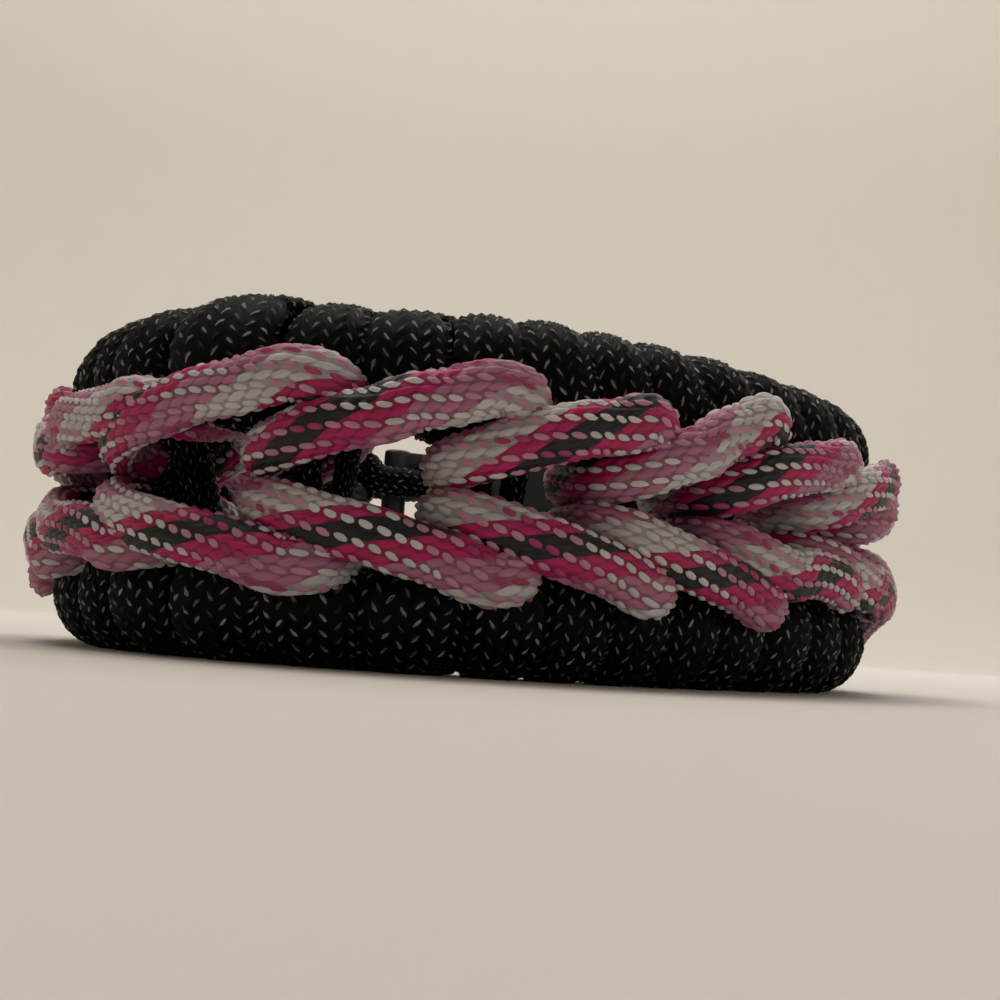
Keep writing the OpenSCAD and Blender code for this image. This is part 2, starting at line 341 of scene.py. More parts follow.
@dataclass
class CordRoute:
    """A cord's run: for each length along it, its centre, its two cross axes and half sizes on them."""

    line: LoopLine
    length_at: np.ndarray
    values: np.ndarray

    @classmethod
    def through(cls, line: LoopLine, rows: np.ndarray, step: float = 0.1) -> "CordRoute":
        """Lays a route through rows.

        Args:
            line: the loop that the rows are unrolled from.
            rows: centre (3), first cross axis (3) and two half sizes of each point.
            step: spacing of the dense run.

        Returns:
            The route, with cross axes square to the run.
        """
        dense = smooth_rows(rows, step)
        c, e, half = dense[:, :3], dense[:, 3:6], dense[:, 6:8]
        t = np.gradient(c, axis=0)
        t /= np.linalg.norm(t, axis=1, keepdims=True)
        e = e - np.sum(e * t, 1, keepdims=True) * t
        e /= np.linalg.norm(e, axis=1, keepdims=True)
        world = line.place(c)
        run = np.concatenate([[0], np.cumsum(np.linalg.norm(np.diff(world, axis=0), axis=1))])
        return cls(line, run, np.concatenate([c, e, np.cross(t, e), half], 1))

    @property
    def length(self) -> float:
        """Whole length of the cord's run."""
        return float(self.length_at[-1])

    def at(self, x: np.ndarray) -> np.ndarray:
        """Centre, both cross axes and half sizes at lengths x."""
        return np.stack([np.interp(x, self.length_at, self.values[:, i]) for i in range(11)], -1)


@dataclass(frozen=True)
class Puff:
    """The oval that a yarn shows where it comes over the others, in millimetres."""

    half_long: float
    half_wide: float
    lean: float
    rib_mm: float = 0.75
    stitch_mm: float = 1.12

    def axes(self, way: int) -> tuple[float, float, float, float]:
        """Works out how the oval's reach depends on place in the stitch.

        Args:
            way: 1 for the leading yarns and -1 for the crossing ones.

        Returns:
            Reach along the oval for one rib and for one stitch, and the same across it.
        """
        across, along = self.lean * self.rib_mm, way * self.stitch_mm
        size = math.hypot(across, along)
        across, along = across / size, along / size
        # a place's distance along the cord is its place in the rib, less or plus its offset from the yarn
        rib, off = np.array([self.rib_mm, way * self.stitch_mm]), np.array([0.0, -way * self.stitch_mm])
        return (
            float(rib @ [across, along]) / self.half_long, float(off @ [across, along]) / self.half_long,
            float(rib @ [-along, across]) / self.half_wide, float(off @ [-along, across]) / self.half_wide,
        )

    def reach(self, a: np.ndarray, off: np.ndarray, way: int) -> np.ndarray:
        """Square of how far out a place lies, from 0 in the middle of the oval to 1 on its rim."""
        p, q, r, s = self.axes(way)
        return ((a - 0.5) * p + off * q) ** 2 + ((a - 0.5) * r + off * s) ** 2


@dataclass(frozen=True)
class BraidLay:
    """A two-over, two-under braid, which shows as ribs of slanted stitches round the cord.

    A cord of 32 yarns shows 16 ribs: the leading yarns in one rib and the crossing yarns in the next.
    """

    stitch_mm: float
    relief_mm: float = 0.3
    # height that lies on the cord's own surface, and power that squares off its section
    mean: float = 0.6
    square: float = 1.0
    flat_lead: bool = True
    # turns of the braid for each millimetre along the cord, and its turn at the start
    twist: float = 0.0
    phase: float = 0.0
    # ribs round the cord, columns of faces in a rib, and rows of them in a stitch
    ribs: int = 16
    columns: int = 3
    rows: int = 4
    # share of the full size that is left at the tip of a melted end
    tip: float = 0.18
    lead_puff: Puff = Puff(0.66, 0.4, 0.8)
    cross_puff: Puff = Puff(0.56, 0.36, 0.45)

    def relief(self, u: np.ndarray, v: np.ndarray) -> np.ndarray:
        """Height of the stitches, from 0 in a groove to 1 on a crest.

        Args:
            u: place round the cord, counted in ribs.
            v: place along the cord, counted in stitches.

        Returns:
            The height at each place.
        """
        rib = np.floor(u)
        odd = np.mod(rib, 2) > 0
        off = np.where(odd, u + v, u - v) - YARN_AT
        off = off - np.round(off)
        out = np.where(odd, self.cross_puff.reach(u - rib, off, -1), self.lead_puff.reach(u - rib, off, 1))
        crest = np.sqrt(np.maximum(1 - out, 0))
        return np.where(odd, 0.1 + crest, 0.25 + 0.6 * crest if self.flat_lead else 0.1 + 0.9 * crest)

    def section(self, ratio: float, at: np.ndarray) -> np.ndarray:
        """Finds points of the cord's section, an oval that may be squared off.

        Args:
            ratio: second half size over the first.
            at: shares of the way round it.

        Returns:
            Each point's share of both half sizes.
        """
        t = np.linspace(0, 2 * np.pi, 1441)
        c, s = np.cos(t), np.sin(t)
        p = np.stack([np.sign(c) * np.abs(c) ** self.square, np.sign(s) * np.abs(s) ** self.square], 1)
        run = np.concatenate([[0], np.cumsum(np.linalg.norm(np.diff(p * [1, ratio], axis=0), axis=1))])
        here = np.mod(at, 1) * run[-1]
        return np.stack([np.interp(here, run, p[:, 0]), np.interp(here, run, p[:, 1])], -1)

    def sheath(self, route: CordRoute, fine: np.ndarray, rings: np.ndarray, closed: bool, melt: float) -> dict:
        """Lays the braided sheath over a route.

        Args:
            route: the cord's run.
            fine: for each ring, 1 where the stitches show and 0 where the cord is plain.
            rings: each ring's length along the cord.
            closed: whether the cord is one closed loop.
            melt: length over which each open end is rounded off.

        Returns:
            Vertices in metres, quads, lay coordinates for each corner, and ring lengths.
        """
        # rings bent to a zigzag, so that the faces run along the stitches
        cols = self.ribs * self.columns
        m = np.arange(cols)
        u = m / self.columns
        rib = np.floor(u)
        zig = np.where(np.mod(rib, 2) > 0, 1 - (u - rib), u - rib) - 0.5
        x = rings[:, None] + zig[None, :] * fine[:, None] * self.stitch_mm
        if not closed:
            x = np.clip(x, 0, route.length)
        v = x / self.stitch_mm
        # the cord's section at each place, and its melted ends
        look = route.at(np.mod(x, route.length) if closed else x)
        c, e, f, half = look[..., 0:3], look[..., 3:6], look[..., 6:9], look[..., 9:11]
        here = route.at(np.mod(rings, route.length) if closed else np.clip(rings, 0, route.length))
        ratio = np.round(here[:, 10] / here[:, 9], 2)
        around = m / cols + self.phase + x * self.twist
        oval = np.empty(x.shape + (2,))
        for r in np.unique(ratio):
            oval[ratio == r] = self.section(r, around[ratio == r])
        end = np.ones_like(x)
        if not closed:
            near = np.clip(np.minimum(x, route.length - x) / melt, 0, 1)
            end = np.sqrt(1 - (1 - near) ** 2) * (1 - self.tip) + self.tip
        height = (self.relief(np.broadcast_to(u, x.shape), v) - self.mean) * self.relief_mm * fine[:, None]
        size_a = (half[..., 0] + height) * end
        size_b = (half[..., 1] + height) * end
        p = c + (size_a * oval[..., 0])[..., None] * e + (size_b * oval[..., 1])[..., None] * f
        co = route.line.place(p).reshape(-1, 3) * MM
        # faces, and for each of their corners the place in ribs and in stitches
        n = len(rings)
        k = np.arange(n if closed else n - 1)[:, None] * cols
        k2 = np.roll(np.arange(n) * cols, -1)[:, None] if closed else k + cols
        m2 = np.roll(m, -1)
        quads = np.stack([k + m, k2 + m, k2 + m2, k + m2], -1).reshape(-1, 4)
        vk = v[:n if closed else n - 1]
        vk2 = np.roll(v, -1, 0) if closed else v[1:]
        u1 = np.broadcast_to(u, vk.shape)
        u2 = u1 + 1 / self.columns
        vm2, vk2m2 = np.roll(vk, -1, 1), np.roll(vk2, -1, 1)
        corners = (u1, vk), (u1, vk2), (u2, vk2m2), (u2, vm2)
        lay = np.stack([np.stack(corner, -1) for corner in corners], 2)
        return {"co": co, "quads": quads, "lay": lay.reshape(-1, 2), "rings": rings, "cols": cols, "closed": closed}


def even_rings(lay: BraidLay, length: float) -> tuple[np.ndarray, np.ndarray]:
    """Rings at the braid's own spacing along an open cord.

    Args:
        lay: the braid.
        length: the cord's length.

    Returns:
        Each ring's length along the cord, and how far its stitches show.
    """
    count = int(round(length / lay.stitch_mm * lay.rows))
    k = np.arange(count + 1)
    fade = np.clip(np.minimum(k, count - k) / (2 * lay.rows), 0, 1)
    return k * length / count, fade * fade * (3 - 2 * fade)


def cord_object(name: str, body: dict, finishes: list[bpy.types.Material], melt_len: float) -> bpy.types.Object:
    """Makes a cord's mesh object.

    Args:
        name: the piece's name.
        body: what BraidLay.sheath gives.
        finishes: the sheath's material, and the melted ends' one where there are ends.
        melt_len: length of the melted end.

    Returns:
        The object, linked to the scene.
    """
    co, quads, lay, cols = body["co"], body["quads"], body["lay"], body["cols"]
    caps: list[np.ndarray] = []
    if not body["closed"]:
        tips = []
        for ring, inner in ((co[:cols], co[4 * cols:5 * cols]), (co[-cols:], co[-5 * cols:-4 * cols])):
            out = ring.mean(0) - inner.mean(0)
            tips.append(ring.mean(0) + 0.1 * MM * out / np.linalg.norm(out))
        base = len(co)
        co = np.concatenate([co, np.array(tips)])
        m = np.arange(cols)
        last = base - cols
        m2 = np.roll(m, -1)
        caps = [
            np.stack([m, m2, np.full(cols, base)], 1),
            np.stack([last + m2, last + m, np.full(cols, base + 1)], 1),
        ]
    mesh = bpy.data.meshes.new(name)
    tris = np.concatenate(caps) if caps else np.zeros((0, 3), int)
    loops = np.concatenate([quads.ravel(), tris.ravel()])
    sizes = np.concatenate([np.full(len(quads), 4), np.full(len(tris), 3)])
    mesh.vertices.add(len(co))
    mesh.vertices.foreach_set("co", co.astype(np.float32).ravel())
    mesh.loops.add(len(loops))
    mesh.loops.foreach_set("vertex_index", loops.astype(np.int32))
    mesh.polygons.add(len(sizes))
    mesh.polygons.foreach_set("loop_start", np.concatenate([[0], np.cumsum(sizes)[:-1]]).astype(np.int32))
    mesh.polygons.foreach_set("use_smooth", np.ones(len(sizes), bool))
    uv = mesh.uv_layers.new(name="lay")
    full = np.concatenate([lay, np.zeros((len(tris) * 3, 2))])
    uv.data.foreach_set("uv", full.astype(np.float32).ravel())
    for finish in finishes:
        mesh.materials.append(finish)
    if caps:
        rings = body["rings"]
        ring = np.arange(len(quads)) // cols
        near = (rings[ring] < melt_len) | (rings[ring] > rings[-1] - melt_len)
        melted = np.concatenate([near, np.ones(len(tris), bool)])
        mesh.polygons.foreach_set("material_index", melted.astype(np.int32))
    mesh.update()
    mesh.validate()
    return stand(name, mesh)


def hand_in(obj: bpy.types.Object, slot: str, *nodes: str) -> None:
    """Lets a piece ride and replace its solids.

    Args:
        obj: the piece.
        slot: not used.
        nodes: the solids that it stands for.
    """
    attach(obj, BODY)
    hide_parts(*nodes)
    log.info("%s: %d faces", obj.name, len(obj.data.polygons))


def lay_cord(
    name: str, route: CordRoute, lay: BraidLay, finishes: list[bpy.types.Material], melt_len: float, slot: str,
) -> None:
    """Braids one open cord along its route and hands it in.

    Args:
        name: the strand's node.
        route: the cord's run.
        lay: its braid.
        finishes: the sheath's and the melted ends' materials.
        melt_len: length of each melted end.
        slot: the record's material slot.
    """
    rings, fine = even_rings(lay, route.length)
    body = lay.sheath(route, fine, rings, False, melt_len)
    log.info("%s is %.0f mm long", name, route.length)
    hand_in(cord_object(f"{name}_braid", body, finishes, melt_len), slot, name)


@dataclass(frozen=True)
class BraidedNylon:
    """Dyed nylon multifilament, braided over a core of inner yarns.

    Its filaments give a soft sheen along each stitch. The two sets of yarns
    carry their own dyes, so a dark yarn shows as a broken slanting streak.
    Sizes are millimetres, from a stitch of 0.86 or 1.12 mm; the real filaments
    are too fine to show, so each yarn is drawn with only a few.
    """

    name: str
    # the first yarn of each dye, in the set that leads and in the set that crosses it
    lead: list[tuple[int, str]]
    cross: list[tuple[int, str]]
    roughness: float = 0.55
    sheen: float = 0.12
    gloss: float = 0.45
    # painted shade left in the grooves, spread of tone among stitches, and whether the leading stitches lie flat
    gap_shade: float = 0.35
    uneven: float = 0.25
    flat_lead: bool = True
    # share and colour of the stitches' painted glints, which are painted highlights, and the size of one
    painted_glint: float = 0.0
    painted_glint_hex: str = "#aeaaa3"
    painted_spark: Puff = Puff(0.36, 0.1, 1.0)
    lead_puff: Puff = Puff(0.66, 0.4, 0.8)
    cross_puff: Puff = Puff(0.5, 0.31, 0.45)
    # square of the reach at which each mark has gone, and at which it is full
    flat_rim: tuple[float, float] = (1.7, 0.5)
    bead_rim: tuple[float, float] = (0.95, 0.75)
    painted_spark_rim: tuple[float, float] = (1.2, 0.5)
    # filaments drawn in a yarn, and how many times they change along one stitch
    filaments: float = 7.0
    breaks: float = 1.4

    def build(self) -> bpy.types.Material:
        """Builds the material from the sheath's lay coordinates.

        Returns:
            The material.
        """
        mat, t = bare_material(self.name)
        uv = node(t, "UVMap", uv_map="lay")
        parts = node(t, "SeparateXYZ", {0: uv}, out=None)
        u, v = parts.outputs[0], parts.outputs[1]
        rib = node(t, "Math", {0: u}, operation="FLOOR")
        a = node(t, "Math", {0: u}, operation="FRACT")
        odd = node(t, "Math", {0: rib, 1: 2.0}, operation="FLOORED_MODULO")
        way = node(t, "Math", {0: odd, 1: 2.0, 2: -1.0}, operation="MULTIPLY_ADD")
        # which yarn of each set passes here, and how far this place is from its middle
        found = []
        for run in ("SUBTRACT", "ADD"):
            at = node(t, "Math", {0: u, 1: v}, operation=run)
            at = node(t, "Math", {0: at, 1: -YARN_AT}, operation="ADD")
            number = node(t, "Math", {0: at}, operation="ROUND")
            found += [number, node(t, "Math", {0: at, 1: number}, operation="SUBTRACT")]
        lead_no, lead_off, cross_no, cross_off = found
        row = node(t, "Mix", {0: odd, 2: lead_no, 3: cross_no})
        # flat stitches of the leading yarns with painted shade in the grooves, with the crossing yarns' beads on
        # them
        ground = self.dye(t, lead_no, self.lead)
        flat = self.oval(t, a, lead_off, self.lead_puff, 1, self.flat_rim)
        bead = self.oval(t, a, cross_off, self.cross_puff, -1, self.bead_rim)
        bead = node(t, "Math", {0: bead, 1: odd}, operation="MULTIPLY")
        lit_part = node(t, "Mix", {0: odd, 2: flat, 3: 0.25 if self.flat_lead else 0.0})
        shade = node(t, "MapRange", {0: lit_part, 3: self.gap_shade, 4: 1.0})
        paint = {"out": 2, "data_type": "RGBA"}
        ground = node(t, "Mix", {0: 1.0, 6: ground, 7: shade}, blend_type="MULTIPLY", **paint)
        col = node(t, "Mix", {0: bead, 6: ground, 7: self.dye(t, cross_no, self.cross)}, **paint)
        # each stitch took the dye a little differently
        spot = node(t, "CombineXYZ", {0: rib, 1: row})
        chance = node(t, "TexWhiteNoise", {0: spot}, noise_dimensions="3D")
        tone = node(t, "MapRange", {0: chance, 3: 1 - self.uneven, 4: 1 + self.uneven * 0.4})
        col = node(t, "Mix", {0: 1.0, 6: col, 7: tone}, blend_type="MULTIPLY", **paint)
        # filaments along each yarn
        along = node(t, "Math", {0: v, 1: way, 2: u}, operation="MULTIPLY_ADD")
        strands = node(t, "Math", {0: along, 1: self.filaments}, operation="MULTIPLY")
        length = node(t, "Math", {0: v, 1: self.breaks}, operation="MULTIPLY")
        fibre_at = node(t, "CombineXYZ", {0: strands, 1: length, 2: rib})
        fibre = node(t, "TexNoise", {"Vector": fibre_at, "Scale": 1.0, "Detail": 2.0, "Roughness": 0.55})
        # painted highlights: a pale colour painted as glints on the crest of some stitches, in place of filaments
        # catching the light
        if self.painted_glint > 0:
            lead_lit = self.oval(t, a, lead_off, self.painted_spark, 1, self.painted_spark_rim)
            cross_lit = self.oval(t, a, cross_off, self.painted_spark, -1, self.painted_spark_rim)
            lit = node(t, "Mix", {0: odd, 2: lead_lit, 3: cross_lit})
            some = node(t, "MapRange", {0: chance, 1: 0.05, 2: 0.95, 3: 0.05, 4: self.painted_glint})
            lit = node(t, "Math", {0: lit, 1: some}, operation="MULTIPLY")
            streak = node(t, "MapRange", {0: fibre, 1: 0.35, 2: 0.6})
            lit = node(t, "Math", {0: lit, 1: streak}, operation="MULTIPLY")
            col = node(t, "Mix", {0: lit, 6: col, 7: linear(self.painted_glint_hex)}, **paint)
        low, high = self.roughness - 0.12, self.roughness + 0.12
        rough = node(t, "MapRange", {0: fibre, 1: 0.3, 2: 0.7, 3: low, 4: high})
        bump = node(t, "Bump", {"Strength": 0.35, "Distance": 0.00006, "Height": fibre})
        shader = node(t, "BsdfPrincipled", {
            "Base Color": col, "Roughness": rough, "Normal": bump, "IOR": 1.53,
            "Sheen Weight": self.sheen, "Sheen Roughness": 0.4, "Specular IOR Level": self.gloss,
        })
        node(t, "OutputMaterial", {0: shader}, out=None)
        return mat

    def dye(self, t: bpy.types.NodeTree, number: Any, dyes: list[tuple[int, str]]) -> Any:
        """Looks up the dye of a yarn by its number in its set.

        Args:
            t: the tree.
            number: the socket with the yarn's whole number.
            dyes: the first yarn of each dye, and its colour.

        Returns:
            The colour socket.
        """
        wrapped = node(t, "Math", {0: number, 1: float(YARNS)}, operation="FLOORED_MODULO")
        middle = node(t, "Math", {0: wrapped, 1: 1 / YARNS, 2: 0.5 / YARNS}, operation="MULTIPLY_ADD")
        ramp = node(t, "ValToRGB", {0: middle}, out=None)
        steps(ramp, [(first / YARNS, code) for first, code in dyes])
        return ramp.outputs[0]

    def oval(self, t: bpy.types.NodeTree, a: Any, off: Any, puff: Puff, way: int, rim: tuple[float, float]) -> Any:
        """Marks an oval in the middle of each stitch.

        Args:
            t: the tree.
            a: place across the rib, from 0 to 1.
            off: place across the yarn, from -0.5 to 0.5.
            puff: the oval's size and lean.
            way: 1 for the leading yarns and -1 for the crossing ones.
            rim: square of the reach at which the mark has gone, and at which it is full.

        Returns:
            A socket that is 1 inside the oval and 0 outside.
        """
        p, q, r, s = puff.axes(way)
        squares = []
        for of_a, of_off in ((p, q), (r, s)):
            part = node(t, "Math", {0: a, 1: of_a, 2: -0.5 * of_a}, operation="MULTIPLY_ADD")
            part = node(t, "Math", {0: off, 1: of_off, 2: part}, operation="MULTIPLY_ADD")
            squares.append(node(t, "Math", {0: part, 1: part}, operation="MULTIPLY"))
        reach = node(t, "Math", {0: squares[0], 1: squares[1]}, operation="ADD")
        soft = {0: reach, 1: rim[0], 2: rim[1], 3: 0.0, 4: 1.0}
        return node(t, "MapRange", soft, interpolation_type="SMOOTHSTEP")


@dataclass(frozen=True)
class MeltedNylon:
    """Nylon melted with a flame and pressed flat: a hard, glossy, slightly browned end."""

    name: str
    code: str

    def build(self) -> bpy.types.Material:
        """Builds the material.

        Returns:
            The material.
        """
        mat, t = bare_material(self.name)
        at = node(t, "TexCoord", out="Object")
        # the melt sets in lumps of about 1 mm
        lumps = node(t, "TexNoise", {"Vector": at, "Scale": 900.0, "Detail": 3.0})
        dark = tuple(c * 0.4 for c in linear(self.code)[:3]) + (1.0,)
        col = node(t, "Mix", {0: lumps, 6: dark, 7: linear(self.code)}, out=2, data_type="RGBA")
        bump = node(t, "Bump", {"Strength": 0.5, "Distance": 0.0002, "Height": lumps})
        shader = node(t, "BsdfPrincipled", {"Base Color": col, "Roughness": 0.28, "IOR": 1.53, "Normal": bump})
        node(t, "OutputMaterial", {0: shader}, out=None)
        return mat


@dataclass(frozen=True)
class MouldedAcetal:
    """Acetal moulded in an eroded steel tool: a satin skin with fine grain and edges worn paler."""

    name: str = "acetal_moulded_satin"
    code: str = "#2d3432"
    worn: str = "#4a524f"
    grain_mm: float = 0.22

    def build(self) -> bpy.types.Material:
        """Builds the material.

        Returns:
            The material.
        """
        mat, t = bare_material(self.name)
        at = node(t, "TexCoord", out="Object")
        # the tool's real grain is about 0.02 mm, too fine to show, so it is drawn coarser
        size = 1000 / self.grain_mm / 4
        grain = node(t, "TexNoise", {"Vector": at, "Scale": size, "Detail": 3.0, "Roughness": 0.6})
        cloud = node(t, "TexNoise", {"Vector": at, "Scale": 90.0, "Detail": 2.0})
        edge = node(t, "NewGeometry", out="Pointiness")
        edge = node(t, "MapRange", {0: edge, 1: 0.52, 2: 0.6, 3: 0.0, 4: 0.75})
        patch = node(t, "Math", {0: edge, 1: cloud}, operation="MULTIPLY")
        tones = {0: patch, 6: linear(self.code), 7: linear(self.worn)}
        col = node(t, "Mix", tones, out=2, data_type="RGBA")
        rough = node(t, "MapRange", {0: cloud, 1: 0.3, 2: 0.7, 3: 0.3, 4: 0.42})
        bump = node(t, "Bump", {"Strength": 0.18, "Distance": 0.00005, "Height": grain})
        shader = node(t, "BsdfPrincipled", {"Base Color": col, "Roughness": rough, "IOR": 1.48, "Normal": bump})
        node(t, "OutputMaterial", {0: shader}, out=None)
        return mat


@dataclass
class EdgeWraps:
    """Both strands of black cord, wound in figures of eight round the core loops."""

    weave: Weave
    lay: BraidLay
    # half thickness of a turn, and how much more its half width is than in the solids
    half_t: float = 1.45
    fuller: float = 0.3
    # where two strands cross: height, half thickness, and half width as a share of the turn's width beside it
    cross_z: float = 2.2
    cross_half_t: float = 1.5
    cross_share: float = 0.28
    # share of the pitch that the first turn moves along over its front
    bar_lag: float = 0.03
    melt_len: float = 1.4
    # angle round the roll and distance along of the points where a strand's start is tucked in
    tuck: tuple[tuple[float, float], ...] = ((-135, -0.9), (-90, -0.5))
    # least and most that a turn's width changes where the turns are pushed together or pulled apart
    spread: tuple[float, float] = (-0.12, 0.35)
    # angle round the roll, share of the way along, share of the full width, share of the roll's own push
    front: tuple[tuple[float, ...], ...] = (
        (0, 0, 0.35, 0), (45, 0.5, 0.97, 0.5), (90, 0.9, 1, 1), (135, 1, 1, 1),
    )
    back: tuple[tuple[float, ...], ...] = (
        (180, 0, 1, 1), (225, 0.3, 0.97, 0.5), (270, 0.68, 0.85, 0), (315, 0.96, 0.35, 0),
    )

    def turn_rows(self) -> list[tuple[float, float, float, float]]:
        """Lists one span's two turns, point by point.

        Returns:
            Angle round the roll, distance along, width and share of the push of each point.
        """
        w = self.weave
        one = self.bar_lag * w.pitch
        two = one + w.pitch / 2
        passing = w.inner_w + w.strand_d + 2 * w.clear
        runs = (
            (self.front[1:], 0, one), (self.back, one, passing),
            (self.front, passing, two), (self.back, two, w.pitch),
        )
        return [
            (row[0] - 90, a + (b - a) * row[1], w.inner_w + (w.outer_w - w.inner_w) * row[2], row[3])
            for rows, a, b in runs for row in rows
        ]

    def rows(self, first: int, lane: int) -> np.ndarray:
        """Centre, radial axis and half sizes all along one strand.

        Args:
            first: the roll where the strand starts, 1 above and -1 below.
            lane: the side on which it passes the other strand at a crossing.

        Returns:
            One row for each point of the route.
        """
        w = self.weave
        out, moved = [], []
        edge = w.wrap_r * math.sin(math.pi / 4)
        for i in range(w.spans):
            side = first if i % 2 == 0 else -first
            flip = 1 if i % 2 == 0 else -1
            start = [(angle, ds, w.inner_w, 0) for angle, ds in self.tuck] if i == 0 else []
            for angle, ds, width, share in start + self.turn_rows():
                r = math.radians(angle)
                e = np.array([0, math.cos(r), side * math.sin(r)])
                along, rise = share * w.pushed(w.first_s + i * w.pitch + ds, side)
                c = np.array([w.first_s + i * w.pitch + ds, 0, side * w.roll_z]) + (w.wrap_r + rise) * e
                # a turn that is pulled apart spreads out wider, and one that is pushed together gets narrower
                slack = (width - w.inner_w) / (w.outer_w - w.inner_w) * (w.stretch(c[0], side) - 1)
                broad = (width / 2 + self.fuller) * (1 + min(max(slack, self.spread[0]), self.spread[1]))
                out.append([*c, *(flip * e), self.half_t, broad])
                moved.append(along)
            if i == w.spans - 1:
                break
            e = np.array([0, w.roll_z - edge, side * edge])
            e /= np.linalg.norm(e)
            off = lane * w.inner_w * self.cross_share
            for h in (self.cross_z, -self.cross_z):
                c = [w.first_s + (i + 1) * w.pitch + off, -h / (w.roll_z - edge) * edge, side * h]
                out.append([*c, *(-flip * e), self.cross_half_t, w.inner_w * self.cross_share])
                moved.append(0.0)
        table = np.array(out)
        table[:, 0] = w.pulled(table[:, 0]) + np.array(moved)
        return table

    def build(self, finishes: list[bpy.types.Material]) -> None:
        """Builds both strands.

        Args:
            finishes: the sheath's and the melted ends' materials.
        """
        for name, first, lane in (("wrap_strand_a", 1, 1), ("wrap_strand_b", -1, -1)):
            route = CordRoute.through(self.weave.line, self.rows(first, lane))
            lay_cord(name, route, self.lay, finishes, self.melt_len, "black_cord")


@dataclass
class LinkStrands:
    """Both strands of variegated cord, stitched over the crossings as a row of V-shaped links."""

    weave: Weave
    lays: dict[Side, BraidLay]
    radius: float = 1.9
    melt_len: float = 1.5
    # share of the pitch, share of the lane, share of the ride outward, share of the way from the
    # rise to the roll, broad half size, thin half size, weight of the foot's pull, the tip's and the bow
    link: tuple[tuple[float, ...], ...] = (
        (0, -1, 0, 0, 0.94, 0.82, 0.6, 0, 0),
        (0, -0.92, 0.5, 0, 0.96, 0.78, 0.8, 0, 0.05),
        (0, -0.46, 0.78, 0.05, 1.0, 0.72, 1, 0, 0.35),
        (0, 0.23, 0.93, 0.15, 1.03, 0.7, 1, 0, 0.8),
        (0, 0.88, 0.97, 0.23, 1.03, 0.7, 1, 0, 1),
        (0.52, 0, 0.96, 0.4, 1.02, 0.71, 0.5, 0.5, 1),
        (0.76, 0, 0.95, 0.58, 1.02, 0.71, 0.2, 0.8, 0.6),
        (0.9, 0, 0.96, 0.74, 1.03, 0.7, 0, 1, 0.2),
        (1, 0, 0.95, 0.83, 1.03, 0.7, 0, 1, 0),
        (1, 0.42, 0.87, 0.8, 1.03, 0.7, 0, 1, 0),
        (1, 0.62, 0.62, 0.73, 1.0, 0.72, 0, 0.9, 0),
        (1, 0.62, 0.16, 0.65, 0.93, 0.72, 0.2, 0.6, 0),
        (1, 0.54, -0.46, 0.6, 0.88, 0.76, 0.4, 0.2, 0),
        (1, -0.05, -0.8, 0.34, 0.9, 0.82, 0.5, 0, 0),
        (1, -0.75, -0.58, 0.06, 0.92, 0.85, 0.5, 0, 0),
    )
    # rows of the table: where a strand starts, where it ends, and from where it goes to the next link
    start_row: int = 13
    end_row: int = 14
    onward_row: int = 8
    # how far the front of a link bows up over the upper roll, and down over the lower one
    bow: tuple[float, float] = (1.1, 0.62)
    # how the hands left each link: the foot's shift along, the tip's shift along and up or down
    upper_pull: dict[int, tuple[float, float, float]] = field(default_factory=lambda: {
        4: (0, -0.8, -4.4), 5: (0, 0.4, -2.2), 6: (0, -0.9, -0.3), 7: (0.6, -1.6, -0.4), 8: (0, -1.8, -1.3),
        9: (0.4, -0.6, 0.4), 10: (0, -2.2, -1.4), 11: (0, -1.5, -1.2),
    })
    lower_pull: dict[int, tuple[float, float, float]] = field(default_factory=lambda: {
        4: (0, 0, -1.3), 5: (0, 0, -2), 6: (0, -0.7, -1), 7: (0.6, -1.5, -1.1), 8: (-0.2, -1.1, -1.1),
        9: (-0.4, 0, -0.9), 10: (-0.3, -1.2, -3), 11: (0, -0.5, -2.5),
    })

    def rows(self, side: Side) -> np.ndarray:
        """Centre, upright axis and half sizes all along one strand.

        Args:
            side: the roll that it rides on.

        Returns:
            One row for each point of the route.
        """
        w = self.weave
        up = side.value
        pulls = self.upper_pull if side is Side.UPPER else self.lower_pull
        out = []
        for k in range(w.links + 1):
            first = 0 if k else self.start_row
            last = len(self.link) if k < w.links else self.end_row
            foot, reach, lift = pulls.get(k, (0, 0, 0))
            next_foot = pulls.get(k + 1, (0, 0, 0))[0]
            for j in range(first, last):
                a, b, n, h, broad, thin, at_foot, at_tip, bowed = self.link[j]
                own_foot = foot if j < self.onward_row else next_foot
                s = w.first_s + (k + a) * w.pitch + b * w.lane + at_tip * reach + at_foot * own_foot
                z = w.rise_z + (w.roll_z - w.rise_z) * h + at_tip * lift + bowed * self.bow[0 if up > 0 else 1]
                out.append([s, n * w.ride_n, up * z, 0, 0, 1, self.radius * broad, self.radius * thin])
        table = np.array(out)
        table[:, 0] = w.pulled(table[:, 0])
        return table

    def build(self, finishes: list[bpy.types.Material]) -> None:
        """Builds both strands.

        Args:
            finishes: the sheath's and the melted ends' materials.
        """
        for side in Side:
            name = f"link_strand_{side.name.lower()}"
            route = CordRoute.through(self.weave.line, self.rows(side))
            lay_cord(name, route, self.lays[side], finishes, self.melt_len, "variegated_cord")


